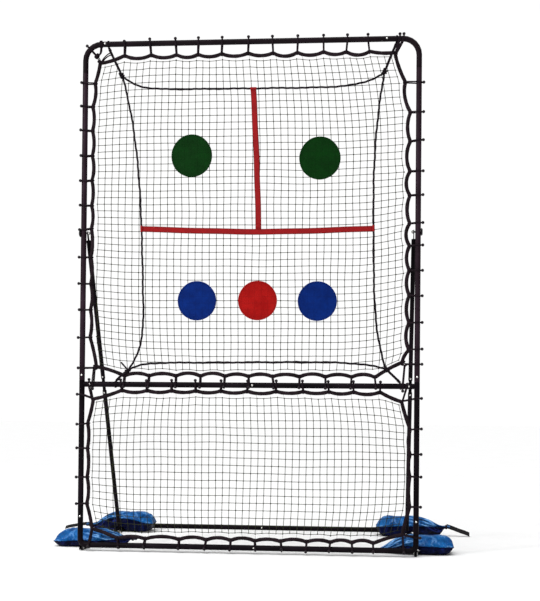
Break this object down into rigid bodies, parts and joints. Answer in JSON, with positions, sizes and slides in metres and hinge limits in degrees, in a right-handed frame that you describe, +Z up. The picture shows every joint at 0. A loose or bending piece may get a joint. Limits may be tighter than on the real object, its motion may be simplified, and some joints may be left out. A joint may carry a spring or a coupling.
{
  "type": "pitch back rebounder",
  "caption": "Steel tube ball rebounder frame with upper and lower nets on bungee ties, a strike zone with targets, braces, a low base and sandbags.",
  "frame": {"origin": "on the floor, midway between the outer faces of the whole object left to right and front to back", "axes": "+X to the right as the player facing the net sees it, +Y away from the player, +Z up"},
  "size_m": [1.6904, 0.8526, 1.8408],
  "materials": {
    "bag": "blue coated fabric, sand inside",
    "blue": "blue woven patch",
    "green": "green woven patch",
    "knob": "moulded black plastic",
    "net": "knotted dark twine",
    "red": "red woven patch",
    "rope": "braided black cord",
    "steel": "zinc plated",
    "strap": "red woven webbing",
    "tube": "satin black powder coat",
    "webbing": "black webbing"
  },
  "bodies": {
    "base": {"base_tube_left": "tube", "base_tube_right": "tube", "foot_rivet_left": "steel", "foot_rivet_right": "steel", "hinge_rivet_left": "steel", "hinge_rivet_right": "steel", "sandbag_front_left": "bag", "sandbag_front_right": "bag", "sandbag_rear_left": "bag", "sandbag_rear_right": "bag", "bag_tail_left": "webbing", "bag_tail_right": "webbing"},
    "frame": {"top_bar": "tube", "top_elbow_left": "tube", "top_elbow_right": "tube", "upper_upright_left": "tube", "upper_upright_right": "tube", "lower_upright_left": "tube", "lower_upright_right": "tube", "crossbar_left": "tube", "crossbar_right": "tube", "bottom_bar_left": "tube", "bottom_bar_right": "tube", "bottom_corner_left": "tube", "bottom_corner_right": "tube", "upper_net": "net", "upper_net_edge_rope": "rope", "lower_net": "net", "lower_net_edge_rope": "rope", "strike_zone_cord": "rope", "vertical_strap": "strap", "horizontal_strap": "strap", "target_green_left": "green", "target_green_right": "green", "target_blue_left": "blue", "target_red": "red", "target_blue_right": "blue", "pivot_knob_left": "knob", "pivot_knob_right": "knob", "pivot_nut_left": "steel", "pivot_nut_right": "steel"},
    "brace_upper_left_body": {"brace_upper_left": "tube"},
    "brace_lower_left_body": {"brace_lower_left": "tube"},
    "brace_upper_right_body": {"brace_upper_right": "tube"},
    "brace_lower_right_body": {"brace_lower_right": "tube"},
    "top_button_left_body": {"top_button_left": "steel"},
    "top_button_right_body": {"top_button_right": "steel"},
    "mid_button_left_body": {"mid_button_left": "steel"},
    "mid_button_right_body": {"mid_button_right": "steel"},
    "low_button_left_body": {"low_button_left": "steel"},
    "low_button_right_body": {"low_button_right": "steel"},
    "crossbar_button_left_body": {"crossbar_button_left": "steel"},
    "crossbar_button_middle_body": {"crossbar_button_middle": "steel"},
    "crossbar_button_right_body": {"crossbar_button_right": "steel"},
    "bottom_bar_button_body": {"bottom_bar_button": "steel"},
    "rear_bar_button_body": {"rear_bar_button": "steel"},
    "brace_button_left_body": {"brace_button_left": "steel"},
    "brace_button_right_body": {"brace_button_right": "steel"}
  },
  "joints": [
    {"name": "frame_tilt", "type": "hinge", "parent": "base", "child": "frame", "pos_m": [0, -0.38775, 0.00981], "axis": [-1, 0, 0], "range_deg": [-5, 5]},
    {"name": "brace_swing_left", "type": "hinge", "parent": "frame", "child": "brace_upper_left_body", "pos_m": [-0.5852, -0.41375, 1.145], "axis": [1, 0, 0], "range_deg": [-1, 1]},
    {"name": "brace_slide_left", "type": "slide", "parent": "brace_upper_left_body", "child": "brace_lower_left_body", "axis": [0, -0.455, 0.8905], "range_m": [-0.0435, 0.0435]},
    {"name": "brace_swing_right", "type": "hinge", "parent": "frame", "child": "brace_upper_right_body", "pos_m": [0.5852, -0.41375, 1.145], "axis": [1, 0, 0], "range_deg": [-1, 1]},
    {"name": "brace_slide_right", "type": "slide", "parent": "brace_upper_right_body", "child": "brace_lower_right_body", "axis": [0, -0.455, 0.8905], "range_m": [-0.0435, 0.0435]},
    {"name": "top_button_left_press", "type": "slide", "parent": "frame", "child": "top_button_left_body", "axis": [0, 1, 0], "range_m": [0, 0.004], "stiffness_N_per_m": 600},
    {"name": "top_button_right_press", "type": "slide", "parent": "frame", "child": "top_button_right_body", "axis": [0, 1, 0], "range_m": [0, 0.004], "stiffness_N_per_m": 600},
    {"name": "mid_button_left_press", "type": "slide", "parent": "frame", "child": "mid_button_left_body", "axis": [0, 1, 0], "range_m": [0, 0.004], "stiffness_N_per_m": 600},
    {"name": "mid_button_right_press", "type": "slide", "parent": "frame", "child": "mid_button_right_body", "axis": [0, 1, 0], "range_m": [0, 0.004], "stiffness_N_per_m": 600},
    {"name": "low_button_left_press", "type": "slide", "parent": "frame", "child": "low_button_left_body", "axis": [0, 1, 0], "range_m": [0, 0.004], "stiffness_N_per_m": 600},
    {"name": "low_button_right_press", "type": "slide", "parent": "frame", "child": "low_button_right_body", "axis": [0, 1, 0], "range_m": [0, 0.004], "stiffness_N_per_m": 600},
    {"name": "crossbar_button_left_press", "type": "slide", "parent": "frame", "child": "crossbar_button_left_body", "axis": [0, 1, 0], "range_m": [0, 0.004], "stiffness_N_per_m": 600},
    {"name": "crossbar_button_middle_press", "type": "slide", "parent": "frame", "child": "crossbar_button_middle_body", "axis": [0, 1, 0], "range_m": [0, 0.004], "stiffness_N_per_m": 600},
    {"name": "crossbar_button_right_press", "type": "slide", "parent": "frame", "child": "crossbar_button_right_body", "axis": [0, 1, 0], "range_m": [0, 0.004], "stiffness_N_per_m": 600},
    {"name": "bottom_bar_button_press", "type": "slide", "parent": "frame", "child": "bottom_bar_button_body", "axis": [0, 1, 0], "range_m": [0, 0.004], "stiffness_N_per_m": 600},
    {"name": "rear_bar_button_press", "type": "slide", "parent": "base", "child": "rear_bar_button_body", "axis": [0, 1, 0], "range_m": [0, 0.004], "stiffness_N_per_m": 600},
    {"name": "brace_button_left_press", "type": "slide", "parent": "brace_upper_left_body", "child": "brace_button_left_body", "axis": [0, 0.8905, 0.455], "range_m": [0, 0.002], "stiffness_N_per_m": 600},
    {"name": "brace_button_right_press", "type": "slide", "parent": "brace_upper_right_body", "child": "brace_button_right_body", "axis": [0, 0.8905, 0.455], "range_m": [0, 0.002], "stiffness_N_per_m": 600}
  ],
  "couplings": [
    {"joint": "brace_swing_left", "follows": "frame_tilt", "ratio": 0.1974},
    {"joint": "brace_slide_left", "follows": "frame_tilt", "m_per_rad": 0.4931},
    {"joint": "brace_swing_right", "follows": "frame_tilt", "ratio": 0.1974},
    {"joint": "brace_slide_right", "follows": "frame_tilt", "m_per_rad": 0.4931}
  ]
}
